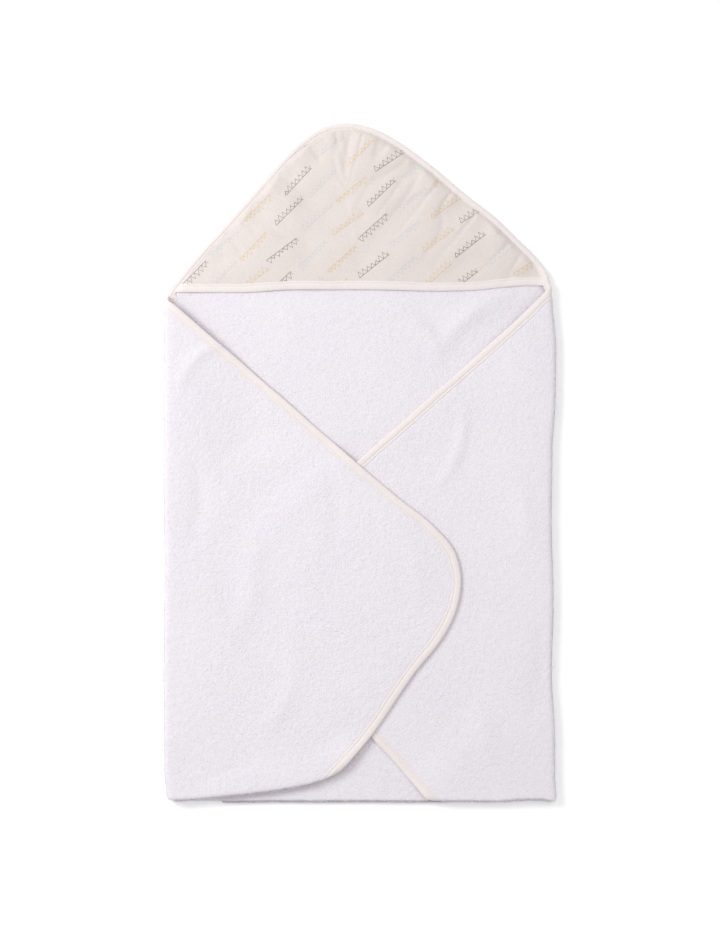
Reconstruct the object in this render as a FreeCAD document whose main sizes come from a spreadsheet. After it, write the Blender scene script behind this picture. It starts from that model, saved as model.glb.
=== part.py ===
"""Hooded baby towel, folded for display.

A square of terry cloth lies corner up on a flat surface.  Its bottom corner is
turned up over the front, then the right side and last the left side are folded
over the middle.  A lined hood is set in the top corner, and one bias binding
runs round the whole edge.  The cloth is split at its folds, so that each flap
is a sub-part that can swing open.

Frame: the towel lies in XY with its hood towards +Y, and +Z is up.  The origin
is under the middle of the folded towel.  Millimetres and degrees.
"""
import FreeCAD, Part
import math
import os

import Sketcher

Vector = FreeCAD.Vector
ALONG_X = Vector(1, 0, 0)
ALONG_Y = Vector(0, 1, 0)
UP = Vector(0, 0, 1)

# Alias, value and meaning of each driving dimension.
DIMENSIONS = [
    ("cloth", 2.7, "thickness of the terry, pile to pile"),
    ("layer", 3.0, "height from one layer of cloth to the next"),
    ("tape", 0.7, "thickness of the bias binding"),
    ("binding", 10.0, "width of the binding on each face"),
    ("wrap", 0.8, "how far the binding stands past the cloth's cut edge"),
    ("seam_inset", 8.0, "from the cloth's cut edge in to the seam"),
    ("thread", 0.5, "width of the seam's thread"),
    ("thread_depth", 0.3, "how deep the thread sinks into the tape"),
    ("left_side", -211.5, "outer face of the left fold"),
    ("right_side", 211.5, "outer face of the right fold"),
    ("bottom_side", -368.5, "outer face of the back's bottom fold"),
    ("left_flap_bottom", -361.0, "outer face of the left flap's bottom fold"),
    ("right_flap_bottom", -364.0, "outer face of the right flap's bottom fold"),
    ("reach", 1300.0, "length drawn for each straight edge, past the folds"),
    ("hood_x", -21.6, "top corner before rounding"),
    ("hood_y", 401.9, "top corner before rounding"),
    ("hood_left_angle", 229.4, "direction of the top left edge"),
    ("hood_right_angle", -39.9, "direction of the top right edge"),
    ("hood_radius", 85.0, "rounding of the top corner"),
    ("left_x", 132.7, "left flap's corner before rounding"),
    ("left_y", -118.2, "left flap's corner before rounding"),
    ("left_upper_angle", 139.2, "direction of the left flap's upper edge"),
    ("left_lower_angle", 235.9, "direction of the left flap's lower edge"),
    ("right_x", -147.0, "right flap's corner before rounding"),
    ("right_y", -126.0, "right flap's corner before rounding"),
    ("right_upper_angle", 41.8, "direction of the right flap's upper edge"),
    ("right_lower_angle", -47.3, "direction of the right flap's lower edge"),
    ("flap_radius", 72.0, "rounding of the side corners"),
    ("bottom_x", -79.5, "bottom corner, turned up, before rounding"),
    ("bottom_y", 50.7, "bottom corner, turned up, before rounding"),
    ("bottom_left_angle", 230.0, "direction of the bottom flap's left edge"),
    ("bottom_right_angle", -43.0, "direction of the bottom flap's right edge"),
    ("bottom_radius", 100.0, "rounding of the bottom corner"),
    ("left_fold_top", 176.0, "upper end of the left fold"),
    ("right_fold_top", 188.0, "upper end of the right fold"),
    ("left_flap_foot", -32.0, "right end of the left flap's bottom fold"),
    ("right_flap_foot", 75.0, "left end of the right flap's bottom fold"),
    ("hood_line", 186.0, "straight front edge of the hood"),
    ("hood_cloth", 0.6, "thickness of the hood's outer cloth, and of its lining"),
    ("hood_seat", 1.7, "underside of the lining where it is sewn in"),
    ("hood_rise", 11.0, "height that the hood stands up over its seat"),
    ("hood_slope", 60.0, "width of the hood's sloping border"),
    ("hood_hem", 16.0, "flattened border of the back under the hood's seam"),
    ("hood_tape", 0.5, "thickness of the tape on the hood's front edge"),
    ("hood_tape_inset", 20.0, "from the cloth's cut edge to the ends of that tape"),
]

document = FreeCAD.newDocument("HoodedTowel")
sheet = document.addObject("Spreadsheet::Sheet", "dims")
for row, (alias, value, meaning) in enumerate(DIMENSIONS, start=1):
    sheet.set(f"A{row}", str(value))
    sheet.setAlias(f"A{row}", alias)
    sheet.set(f"B{row}", meaning)
document.recompute()

sub_parts = []

# Layers of cloth, counted up from the surface that the towel lies on.  The two
# turn-ups lie side by side, so they share a layer.
BACK, BOTTOM_FLAP, TURNUP, RIGHT_FLAP, LEFT_FLAP = range(5)


def add(kind, name, **formulas):
    """A new object whose properties follow the given formulas of the sheet."""
    item = document.addObject(kind, name)
    for path, formula in formulas.items():
        item.setExpression(path.replace("__", "."), formula)
    return item


def finish(item, label, level="0"):
    """Names a sub-part and lifts it to its layer."""
    item.Label = label
    item.setExpression("Placement.Base.z", f"{level} * dims.layer")
    sub_parts.append(item)
    return item


def corner_outline(name, corner, first, second, radius):
    """Closed outline of a cloth corner: two long straight edges and a round tip.

    corner is the pair of formulas of the tip before rounding, and first and
    second are the formulas of the directions that the edges leave it in.
    """
    sketch = document.addObject("Sketcher::SketchObject", name)

    def number(formula):
        value = sheet.evalExpression(formula)
        return float(getattr(value, "Value", value))

    tip_x, tip_y = corner
    ends = []
    for angle in (first, second):
        ends.append((f"{tip_x} + dims.reach * cos({angle})", f"{tip_y} + dims.reach * sin({angle})"))
    tip = Vector(number(tip_x), number(tip_y), 0)
    far = [Vector(number(end_x), number(end_y), 0) for end_x, end_y in ends]

    # First shapes near the answer: the sketch's constraints then set them exactly.
    arms = [(point - tip).normalize() for point in far]
    inward = (arms[0] + arms[1]).normalize()
    half = inward.getAngle(arms[0])
    size = number(radius)
    centre = tip + inward * (size / math.sin(half))
    touch = [tip + arm * ((centre - tip).dot(arm)) for arm in arms]
    middle = centre - inward * size
    line_in, arc, line_out, closing = sketch.addGeometry([
        Part.LineSegment(far[0], touch[0]),
        Part.Arc(touch[0], middle, touch[1]),
        Part.LineSegment(touch[1], far[1]),
        Part.LineSegment(far[1], far[0]),
    ], False)
    point = sketch.addGeometry(Part.Point(tip), True)

    start, end = 1, 2
    turns_left = (touch[0] - centre).cross(touch[1] - centre).z > 0
    arc_start, arc_end = (start, end) if turns_left else (end, start)
    for values in [
        ("Tangent", line_in, end, arc, arc_start),
        ("Tangent", arc, arc_end, line_out, start),
        ("Coincident", line_out, end, closing, start),
        ("Coincident", closing, end, line_in, start),
        ("PointOnObject", point, start, line_in),
        ("PointOnObject", point, start, line_out),
    ]:
        sketch.addConstraint(Sketcher.Constraint(*values))
    rounding = sketch.addConstraint(Sketcher.Constraint("Radius", arc, size))
    sketch.setExpression(f"Constraints[{rounding}]", radius)
    origin = (-1, start)
    places = [(point, start, corner), (line_in, start, ends[0]), (closing, start, ends[1])]
    for geometry, position, formulas in places:
        for direction, formula in zip(("DistanceX", "DistanceY"), formulas):
            constraint = Sketcher.Constraint(direction, *origin, geometry, position, number(formula))
            index = sketch.addConstraint(constraint)
            sketch.setExpression(f"Constraints[{index}]", formula)
    document.recompute()
    return sketch


def slab(name, outline, offset, bottom, top):
    """The outline, widened by a formula, as a plate between two heights."""
    source = outline
    if offset is not None:
        source = add("Part::Offset2D", name + "_offset", Value=offset)
        source.Source = outline
        source.Join = 0
        source.Fill = False
    plate = add("Part::Extrusion", name, LengthFwd=f"{top} - ({bottom})", Placement__Base__z=bottom)
    plate.Base = source
    plate.DirMode = "Custom"
    plate.Dir = UP
    plate.Solid = True
    return plate


def zone(name, low_x, low_y, high_x, high_y):
    """The stretch of the towel between its folds, as a tall box."""
    half = "dims.reach / 2"
    return add(
        "Part::Box", name,
        Length=f"({high_x}) - ({low_x})", Width=f"({high_y}) - ({low_y})", Height="dims.reach",
        Placement__Base__x=low_x, Placement__Base__y=low_y, Placement__Base__z=f"-{half}",
    )


def fuse(name, *shapes):
    item = document.addObject("Part::MultiFuse", name)
    item.Shapes = list(shapes)
    return item


def common(name, *shapes):
    item = document.addObject("Part::MultiCommon", name)
    item.Shapes = list(shapes)
    return item


def cut(name, base, tool):
    item = document.addObject("Part::Cut", name)
    item.Base = base
    item.Tool = tool
    return item


def seam(name, outline, height):
    """Thread of a seam round an outline: one run sunk in each face of the tape."""
    runs = []
    faces = {"lower": ("0", "dims.thread_depth"), "upper": (f"{height} - dims.thread_depth", height)}
    for face, (bottom, top) in faces.items():
        outer = slab(f"{name}_{face}_outer", outline, "-dims.seam_inset", bottom, top)
        inner = slab(f"{name}_{face}_inner", outline, "-dims.seam_inset - dims.thread", bottom, top)
        runs.append(cut(f"{name}_{face}", outer, inner))
    return fuse(name + "_thread", *runs)


def bound_panel(name, outline, area, level):
    """A flap of terry, with the binding and the seam along its cut edge."""
    middle = slab(name + "_middle", outline, "-dims.binding", "0", "dims.cloth")
    hem = slab(name + "_hem", outline, None, "dims.tape", "dims.cloth - dims.tape")
    terry = fuse(name + "_terry", middle, hem)
    thread = seam(name, outline, "dims.cloth")
    folded_tape = slab(name + "_tape", outline, "dims.wrap", "0", "dims.cloth")
    channel = fuse(name + "_channel", terry, thread)
    finish(common(name, terry, area), name, level)
    finish(common(name + "_binding", cut(name + "_wrapped", folded_tape, channel), area), name + "_binding", level)
    finish(common(name + "_stitching", thread, area), name + "_stitching", level)


def roll(name, centre, along, outward, length, lower, upper):
    """Half-round fold that carries the cloth from one layer up to another.

    centre holds the formulas of the two ends' shared axis point, along is the
    fold's direction and outward is the side that the fold bulges to.
    """
    outer = f"({upper} - {lower}) * dims.layer / 2 + dims.cloth / 2"
    turned = FreeCAD.Rotation(outward.cross(along), outward, along, "ZYX")
    height = f"({upper} + {lower}) * dims.layer / 2 + dims.cloth / 2"
    halves = []
    for side, radius in (("outer", outer), ("inner", f"{outer} - dims.cloth")):
        drum = add("Part::Cylinder", f"{name}_{side}", Radius=radius, Height=length)
        drum.Angle = 180
        drum.Placement = FreeCAD.Placement(Vector(), turned)
        drum.setExpression("Placement.Base.x", centre[0])
        drum.setExpression("Placement.Base.y", centre[1])
        drum.setExpression("Placement.Base.z", height)
        halves.append(drum)
    return finish(cut(name, *halves), name)


def roll_radius(lower, upper):
    return f"(({upper - lower}) * dims.layer + dims.cloth) / 2"


# Axes of the folds, one roll radius inside the outer face of each.
left_axis = f"dims.left_side + {roll_radius(BACK, LEFT_FLAP)}"
right_axis = f"dims.right_side - {roll_radius(BACK, RIGHT_FLAP)}"
bottom_axis = f"dims.bottom_side + {roll_radius(BACK, BOTTOM_FLAP)}"
left_foot_axis = f"dims.left_flap_bottom + {roll_radius(TURNUP, LEFT_FLAP)}"
right_foot_axis = f"dims.right_flap_bottom + {roll_radius(TURNUP, RIGHT_FLAP)}"


def build_back_and_hood():
    """Back of the towel, with the hood sewn into its top corner."""
    outline = corner_outline(
        "hood_outline", ("dims.hood_x", "dims.hood_y"),
        "dims.hood_left_angle", "dims.hood_right_angle", "dims.hood_radius",
    )
    area = zone("back_zone", left_axis, bottom_axis, right_axis, "dims.reach")
    hood_area = zone("hood_zone", left_axis, "dims.hood_line", right_axis, "dims.reach")
    edge_area = zone(
        "hood_edge_zone", left_axis, "dims.hood_line - dims.wrap", right_axis, "dims.hood_line + dims.binding",
    )

    middle = slab("back_middle", outline, "-dims.hood_hem", "0", "dims.cloth")
    hem = slab("back_hem", outline, None, "dims.tape", "dims.hood_seat")
    terry = fuse("back_terry", middle, hem)
    finish(common("back_panel", terry, area), "back_panel")

    def tent(name, lift):
        """Everything under the hood's surface, lifted by a formula."""
        seat = f"dims.hood_seat + {lift}"
        crown = f"{seat} + dims.hood_rise"
        plate = slab(name + "_plate", outline, None, "dims.tape", seat)
        rings = []
        for ring, inset, height in (
            ("foot", "-dims.binding", seat),
            ("crown", "-dims.binding - dims.hood_slope", crown),
        ):
            wire = add("Part::Offset2D", f"{name}_{ring}", Value=inset, Placement__Base__z=height)
            wire.Source = outline
            wire.Join = 0
            wire.Fill = False
            rings.append(wire)
        dome = document.addObject("Part::Loft", name + "_dome")
        dome.Sections = rings
        dome.Solid = True
        dome.Ruled = True
        return fuse(name, plate, dome)

    under = tent("under_lining", "0")
    over_lining = tent("over_lining", "dims.hood_cloth")
    over_hood = tent("over_hood", "2 * dims.hood_cloth")
    hood_cloth = cut("hood_sheet", over_hood, over_lining)
    lining = cut("lining_sheet", over_lining, under)
    finish(common("hood_panel", hood_cloth, hood_area), "hood_panel")
    finish(common("hood_lining", lining, hood_area), "hood_lining")

    # Tape folded over the hood's front edge, inside the perimeter's binding.
    above = tent("over_tape", "2 * dims.hood_cloth + dims.hood_tape")
    below = tent("under_tape", "-dims.hood_tape")
    inside = slab("hood_inside", outline, "-dims.hood_tape_inset", "0", "dims.reach")
    both_cloths = common("hood_cloths", cut("hood_layers", over_hood, under), hood_area)
    seam_low = "dims.hood_line + dims.seam_inset"
    seam_area = zone("hood_seam_zone", left_axis, seam_low, right_axis, f"{seam_low} + dims.thread")
    thread_top = tent("over_thread", "2 * dims.hood_cloth + dims.hood_tape - dims.thread_depth")
    thread = common("hood_seam_run", cut("hood_thread_sheet", above, thread_top), seam_area, inside)
    finish(thread, "hood_edge_stitching")
    folded = common("hood_tape_folded", cut("hood_tape_shell", above, below), edge_area, inside)
    free = cut("hood_tape_free", folded, both_cloths)
    finish(cut("hood_edge_binding", free, thread), "hood_edge_binding")

    # Perimeter binding, which holds the back, the lining and the hood together.
    rim_top = "dims.hood_seat + 2 * dims.hood_cloth + dims.tape"
    rim_seam = seam("rim", outline, rim_top)
    rim_tape = slab("rim_tape", outline, "dims.wrap", "0", rim_top)
    rim_middle = slab("rim_middle", outline, "-dims.binding", "0", rim_top)
    rim_layers = slab("rim_layers", outline, None, "dims.tape", "dims.hood_seat + 2 * dims.hood_cloth")
    rim_channel = fuse("rim_channel", rim_middle, rim_layers, rim_seam)
    rim_wrapped = cut("rim_wrapped", rim_tape, rim_channel)
    finish(common("hood_rim_binding", rim_wrapped, hood_area), "hood_rim_binding")
    finish(common("hood_rim_stitching", rim_seam, hood_area), "hood_rim_stitching")


def build_side(side, axis, far_side, foot_axis, level):
    """A side flap, and the part of the turned-up bottom corner that it carries."""
    low_x, high_x = (axis, far_side) if side == "left" else (far_side, axis)
    tip_x, tip_y = f"dims.{side}_x", f"dims.{side}_y"
    upper, lower = f"dims.{side}_upper_angle", f"dims.{side}_lower_angle"
    flap = corner_outline(side + "_outline", (tip_x, tip_y), upper, lower, "dims.flap_radius")
    area = zone(side + "_zone", low_x, foot_axis, high_x, "dims.reach")
    bound_panel(side + "_flap", flap, area, level)
    folded_up = corner_outline(
        side + "_turnup_outline", (tip_x, f"(2 * ({foot_axis}) - {tip_y})"),
        f"(-{upper})", f"(-{lower})", "dims.flap_radius",
    )
    bound_panel(side + "_turnup", folded_up, area, TURNUP)


def build_bottom_flap():
    """Middle of the bottom corner, turned up over the back."""
    outline = corner_outline(
        "bottom_outline", ("dims.bottom_x", "dims.bottom_y"),
        "dims.bottom_left_angle", "dims.bottom_right_angle", "dims.bottom_radius",
    )
    area = zone("bottom_zone", left_axis, bottom_axis, right_axis, "dims.reach")
    bound_panel("bottom_flap", outline, area, BOTTOM_FLAP)


def build_folds():
    """Rolls of cloth that join the panels at each fold."""
    roll("left_fold", (left_axis, left_foot_axis), ALONG_Y, -ALONG_X,
         f"dims.left_fold_top - ({left_foot_axis})", BACK, LEFT_FLAP)
    roll("right_fold", (right_axis, right_foot_axis), ALONG_Y, ALONG_X,
         f"dims.right_fold_top - ({right_foot_axis})", BACK, RIGHT_FLAP)
    roll("bottom_fold", (left_axis, bottom_axis), ALONG_X, -ALONG_Y,
         f"{right_axis} - ({left_axis})", BACK, BOTTOM_FLAP)
    roll("left_flap_fold", (left_axis, left_foot_axis), ALONG_X, -ALONG_Y,
         f"dims.left_flap_foot - ({left_axis})", TURNUP, LEFT_FLAP)
    roll("right_flap_fold", ("dims.right_flap_foot", right_foot_axis), ALONG_X, -ALONG_Y,
         f"{right_axis} - dims.right_flap_foot", TURNUP, RIGHT_FLAP)


def check_and_write():
    """Checks every object, then writes each sub-part to its STEP file."""
    document.recompute()
    for item in document.Objects:
        if "Invalid" in item.State or "Error" in item.State:
            raise RuntimeError(f"{item.Name} failed: {item.State}")
    for item in sub_parts:
        if item.Shape.isNull() or not item.Shape.isValid() or not item.Shape.Solids:
            raise RuntimeError(f"{item.Label} has no valid solid")
    os.makedirs("parts", exist_ok=True)
    for item in sub_parts:
        item.Shape.exportStep(f"parts/{item.Label}.step")
        box = item.Shape.BoundBox
        print(f"{item.Label:24s} solids {len(item.Shape.Solids)}  volume {item.Shape.Volume:10.0f}  "
              f"x {box.XMin:.1f} {box.XMax:.1f}  y {box.YMin:.1f} {box.YMax:.1f}  z {box.ZMin:.2f} {box.ZMax:.2f}")


build_back_and_hood()
build_side("left", left_axis, "dims.reach", left_foot_axis, LEFT_FLAP)
build_side("right", right_axis, "-dims.reach", right_foot_axis, RIGHT_FLAP)
build_bottom_flap()
build_folds()
check_and_write()
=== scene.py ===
"""Looks of a hooded baby towel that lies folded, seen from straight above.

Each piece of cloth is cut flat, as the real one is, and then laid: rolled round
its fold, draped over the layers under it and turned down at its bottom crease.
The binding, its seam and the hood follow the same laid surfaces.  Metres.
"""
import math

import bmesh
import bpy
import numpy as np
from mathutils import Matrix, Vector
from mathutils.geometry import delaunay_2d_cdt
from mathutils.kdtree import KDTree


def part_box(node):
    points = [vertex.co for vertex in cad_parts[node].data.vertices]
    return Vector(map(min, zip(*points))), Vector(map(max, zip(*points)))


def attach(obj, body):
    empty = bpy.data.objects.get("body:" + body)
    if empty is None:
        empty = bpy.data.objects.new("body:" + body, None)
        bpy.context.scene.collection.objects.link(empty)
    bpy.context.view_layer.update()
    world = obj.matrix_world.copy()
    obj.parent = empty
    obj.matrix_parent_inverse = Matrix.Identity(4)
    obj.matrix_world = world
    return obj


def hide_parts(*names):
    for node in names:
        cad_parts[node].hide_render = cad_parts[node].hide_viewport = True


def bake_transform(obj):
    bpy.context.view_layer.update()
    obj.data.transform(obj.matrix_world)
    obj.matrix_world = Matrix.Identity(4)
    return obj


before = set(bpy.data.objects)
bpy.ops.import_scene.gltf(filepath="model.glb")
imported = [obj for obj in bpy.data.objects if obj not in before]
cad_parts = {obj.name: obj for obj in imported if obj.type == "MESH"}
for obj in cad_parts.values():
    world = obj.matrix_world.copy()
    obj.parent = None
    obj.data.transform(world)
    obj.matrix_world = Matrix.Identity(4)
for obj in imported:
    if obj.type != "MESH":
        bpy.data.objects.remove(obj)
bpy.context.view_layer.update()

MM = 0.001
CLOTH = 2.7 * MM            # thickness of the terry
LAYER = 3.0 * MM            # from one layer of cloth to the next
TAPE = 10.0 * MM            # width of the flaps' binding on each face
RIM_TAPE = 7.5 * MM         # and of the hood's
SEAM = 0.74                 # how far across the binding its seam runs
PILE = 0.34 * MM            # height of the lumps in the pile

# Fold lines and heights, read from the frame.
left_low, left_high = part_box("left_flap")
right_low, right_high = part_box("right_flap")
LEFT_FOLD = left_low.x
RIGHT_FOLD = right_high.x
LEFT_CREASE = left_low.y
RIGHT_CREASE = right_low.y
BACK_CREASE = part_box("back_panel")[0].y
BACK_MIDDLE = CLOTH / 2
LEFT_MIDDLE = left_high.z - CLOTH / 2
RIGHT_MIDDLE = right_high.z - CLOTH / 2
TURNUP_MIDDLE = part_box("left_turnup")[1].z - CLOTH / 2
BOTTOM_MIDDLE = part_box("bottom_flap")[1].z - CLOTH / 2
HOOD_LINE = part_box("hood_panel")[0].y


# ---------------------------------------------------------------- small tools

def smooth(value):
    value = np.clip(value, 0.0, 1.0)
    return value * value * (3 - 2 * value)


def scatter(i, j, seed):
    """Repeatable random number from -1 to 1 for each lattice point."""
    value = np.sin(i * 127.1 + j * 311.7 + seed * 74.7) * 43758.5453
    return 2 * (value - np.floor(value)) - 1


def bumps(x, y, size, seed):
    """Smooth random bumps from -1 to 1, of about the given size."""
    x, y = np.asarray(x) / size, np.asarray(y) / size
    i, j = np.floor(x), np.floor(y)
    u, v = smooth(x - i), smooth(y - j)
    near = scatter(i, j, seed) * (1 - u) + scatter(i + 1, j, seed) * u
    far = scatter(i, j + 1, seed) * (1 - u) + scatter(i + 1, j + 1, seed) * u
    return near * (1 - v) + far * v


def boxy(value):
    """Bends a circle's sine or cosine to those of a flatter, squarer roll."""
    return np.sign(value) * np.abs(value) ** 0.6


def twice_area(outline):
    """Twice a flat outline's area, above 0 where the outline runs clockwise."""
    x, y = outline[:, 0], outline[:, 1]
    return np.dot(x, np.roll(y, 1)) - np.dot(y, np.roll(x, 1))


class Edge:
    """A bound edge of flat cloth: a smooth line through a few points, in order,
    with the cloth on its right-hand side when side is -1 and on its left when 1."""

    STEP = 1.5 * MM

    def __init__(self, points, side, wander=0.0):
        knots = np.array(points, float) * MM
        knots = np.vstack([2 * knots[0] - knots[1], knots, 2 * knots[-1] - knots[-2]])
        spans = []
        for a, b, c, d in zip(knots, knots[1:], knots[2:], knots[3:]):
            t = np.linspace(0, 1, 60, endpoint=False)[:, None]
            lengths = [max(np.linalg.norm(q - p), 1e-9) ** 0.5 for p, q in ((a, b), (b, c), (c, d))]
            start = (c - b) - lengths[1] * ((c - a) / (lengths[0] + lengths[1]) - (b - a) / lengths[0])
            end = (c - b) - lengths[1] * ((d - b) / (lengths[1] + lengths[2]) - (d - c) / lengths[2])
            spans.append(
                b * (2 * t**3 - 3 * t**2 + 1) + start * (t**3 - 2 * t**2 + t)
                + c * (3 * t**2 - 2 * t**3) + end * (t**3 - t**2)
            )
        line = np.vstack(spans + [knots[-2][None]])
        along = np.r_[0, np.cumsum(np.linalg.norm(np.diff(line, axis=0), axis=1))]
        self.length = along[-1]
        self.s = np.linspace(0, self.length, int(self.length / self.STEP) + 1)
        self.points = np.column_stack([np.interp(self.s, along, line[:, k]) for k in (0, 1)])
        tangent = np.gradient(self.points, axis=0)
        tangent /= np.linalg.norm(tangent, axis=1)[:, None]
        self.inward = np.column_stack([-tangent[:, 1], tangent[:, 0]]) * side
        self.points += self.inward * (wander * bumps(self.s, 0 * self.s, 38 * MM, 5))[:, None]
        self.tree = KDTree(len(self.points))
        for index, (x, y) in enumerate(self.points):
            self.tree.insert((x, y, 0), index)
        self.tree.balance()

    def inset(self, x, y):
        """How far each point lies inside the edge; negative outside."""
        found = [self.tree.find((px, py, 0)) for px, py in zip(x, y)]
        index = np.array([hit[1] for hit in found])
        distance = np.array([hit[2] for hit in found])
        offset = np.column_stack([x, y]) - self.points[index]
        return distance * np.sign(np.einsum("ij,ij->i", offset, self.inward[index]) + 1e-12)

    def moved(self, inset):
        return self.points + self.inward * inset

    def at(self, s, values):
        """The edge's points or inward directions at distances s along it."""
        return np.column_stack([np.interp(s, self.s, values[:, k]) for k in (0, 1)])


# ------------------------------------------------------------- flat patterns

LEFT_ROLL = (LEFT_MIDDLE - BACK_MIDDLE) / 2
RIGHT_ROLL = (RIGHT_MIDDLE - BACK_MIDDLE) / 2
left_seam = LEFT_FOLD - math.pi * LEFT_ROLL      # flat x of the seam under the left fold
right_seam = RIGHT_FOLD + math.pi * RIGHT_ROLL

# Edges as cut and laid, in millimetres, drawn from corner to corner.
HOOD_LEFT_FOOT = 185.0
HOOD_RIGHT_FOOT = 202.0
TURNUP_LEFT_TOP = -109.0
TURNUP_RIGHT_TOP = -213.5
BOTTOM_LEFT_TOP = -127.0
BOTTOM_RIGHT_TOP = -222.5
WANDER = 0.7 * MM
rim = Edge([
    (-209.5, 182.5), (-205, 190), (-178, 224), (-138, 268), (-99, 313), (-62, 351), (-38, 365),
    (-14, 369), (12, 364), (38, 351), (70, 328), (116, 290), (146, 267), (176, 238),
    (190, 224), (202, 207), (209, 187),
], -1, 0.5 * WANDER)
left_edge = Edge([
    (left_seam / MM, HOOD_LEFT_FOOT), (LEFT_FOLD / MM, 173), (-156, 132), (-96, 81), (-5, 2),
    (46, -41), (80, -69), (102, -95), (110, -126), (105, -160), (88, -192), (57, -231),
    (12, -296), (-16, -329), (-34, -347), (-52, -365),
], -1, WANDER)
right_edge = Edge([
    (right_seam / MM, HOOD_RIGHT_FOOT), (RIGHT_FOLD / MM, 187), (-3, 2.5), (-72, -59), (-103, -93),
    (-115, -126), (-105, -163), (-72, -207), (14, -300), (54, -344), (70, -362), (84, -378),
], 1, WANDER)
bottom_edge = Edge([
    (LEFT_FOLD / MM, BOTTOM_LEFT_TOP), (-150, -52), (-118, -13), (-80, 3), (-38, -10), (12, -46),
    (RIGHT_FOLD / MM, BOTTOM_RIGHT_TOP),
], -1, WANDER)
left_turnup_edge = Edge([
    (-22, -372), (-36, -346), (-60, -318), (-120, -234), (LEFT_FOLD / MM, TURNUP_LEFT_TOP),
], 1, WANDER)
right_turnup_edge = Edge([
    (64, -384), (80, -362), (100, -338), (140, -290), (RIGHT_FOLD / MM, TURNUP_RIGHT_TOP),
], -1, WANDER)


def through(knots, value):
    """A soft curve through a few (place, height) knots in millimetres."""
    value = np.asarray(value) / MM
    result = np.full_like(value, knots[0][1], dtype=float)
    for (a, low), (b, high) in zip(knots, knots[1:]):
        result += (high - low) * smooth((value - a) / (b - a))
    return result * MM


# Where the side folds stray from straight, as (y, shift) knots in millimetres.
LEFT_WANDER = (
    (-368, 3.0), (-335, 0.4), (-220, -0.4), (-120, 0.7), (-20, -0.4), (90, 0.5), (160, 0.0), (195, 3.0),
)
RIGHT_WANDER = (
    (-372, 1.6), (-340, -0.3), (-295, -0.6), (-232, -3.4), (-150, -2.0), (-60, -4.2), (10, -3.6), (70, 0.2),
    (125, 0.8), (180, -3.4), (205, -5.0),
)


def drift(x, y):
    """How far the cloth lies to the right of where straight folds would put it."""
    near_left = np.exp(-np.abs(x - LEFT_FOLD) / (30 * MM))
    near_right = np.exp(-np.abs(x - RIGHT_FOLD) / (30 * MM))
    return through(LEFT_WANDER, y) * near_left + through(RIGHT_WANDER, y) * near_right


def left_crease(x):
    """The left flap's bottom crease, which climbs towards the middle."""
    along = np.clip((x - LEFT_FOLD) / (180 * MM), 0, 1.06)
    return LEFT_CREASE - 4.5 * MM + (20 * along**1.35 + 10 * along**8) * MM


def right_crease(x):
    knots = ((60, 1.5), (95, -1.0), (150, -1.4), (178, 0.6), (196, 0.6), (212, -2.6))
    return RIGHT_CREASE + through(knots, x)


def back_crease(x):
    return BACK_CREASE + 1.6 * MM + 0.5 * MM * bumps(x, 0 * x, 45 * MM, 7)


def mouth(x):
    """The hood's straight front edge, as it lies."""
    along = x / MM
    sway = -3.2 * smooth((-70 - along) / 60) + 4.0 * smooth((along - 120) / 60)
    return HOOD_LINE + (2.0 + sway - 1.6 * np.exp(-((along - 85) / 45) ** 2)) * MM


# --------------------------------------------------------- how each layer lies

GRID = 3.0 * MM
grid_x = np.arange(-0.235, 0.236, GRID)
grid_y = np.arange(-0.385, 0.386, GRID)
mesh_x, mesh_y = (a.ravel() for a in np.meshgrid(grid_x, grid_y, indexing="ij"))


def covered(edge, width=21 * MM):
    """1 where the edge's cloth lies, sinking gently to 0 beside it, as cloth over it does."""
    return smooth(1 + edge.inset(mesh_x, mesh_y) / (2 * width))


def swell(distance, reach):
    """1 at a fold, sinking softly to 0 at the reach."""
    return 1 - smooth(distance / reach)


def ridge(start, end, height, width):
    """A soft crease that rises and dies away between two places, in millimetres."""
    start, end = np.array(start) * MM, np.array(end) * MM
    length = np.linalg.norm(end - start)
    ahead = (end - start) / length
    along = (mesh_x - start[0]) * ahead[0] + (mesh_y - start[1]) * ahead[1]
    across = (mesh_x - start[0]) * ahead[1] - (mesh_y - start[1]) * ahead[0]
    across += 0.12 * length * np.sin(along / length * math.pi)
    fade = np.sin(np.clip(along / length, 0, 1) * math.pi)
    return height * MM * fade * np.exp(-(across / (width * MM)) ** 2)


class Relief:
    """Heights on the grid, read between its points."""

    def __init__(self, heights):
        self.heights = heights.reshape(len(grid_x), len(grid_y))

    def __call__(self, x, y):
        u = np.clip((x - grid_x[0]) / GRID, 0, len(grid_x) - 1.001)
        v = np.clip((y - grid_y[0]) / GRID, 0, len(grid_y) - 1.001)
        i, j = u.astype(int), v.astype(int)
        u, v = smooth(u - i), smooth(v - j)
        h = self.heights
        near = h[i, j] * (1 - u) + h[i + 1, j] * u
        far = h[i, j + 1] * (1 - u) + h[i + 1, j + 1] * u
        return near * (1 - v) + far * v


bottom_cover = covered(bottom_edge)
right_cover = covered(right_edge)
left_turnup_cover = covered(left_turnup_edge) * (mesh_x < 0)
right_turnup_cover = covered(right_turnup_edge) * (mesh_x > 0)
from_left = np.clip(mesh_x - LEFT_FOLD, 0, None)
from_right = np.clip(RIGHT_FOLD - mesh_x, 0, None)


def raised(base, top, fold_distance, crease_distance):
    """The base height, lifted to top along a fold and along a bottom crease."""
    lift = np.maximum(swell(fold_distance, 100 * MM), swell(crease_distance, 40 * MM))
    return base + (top - base) * lift


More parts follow.
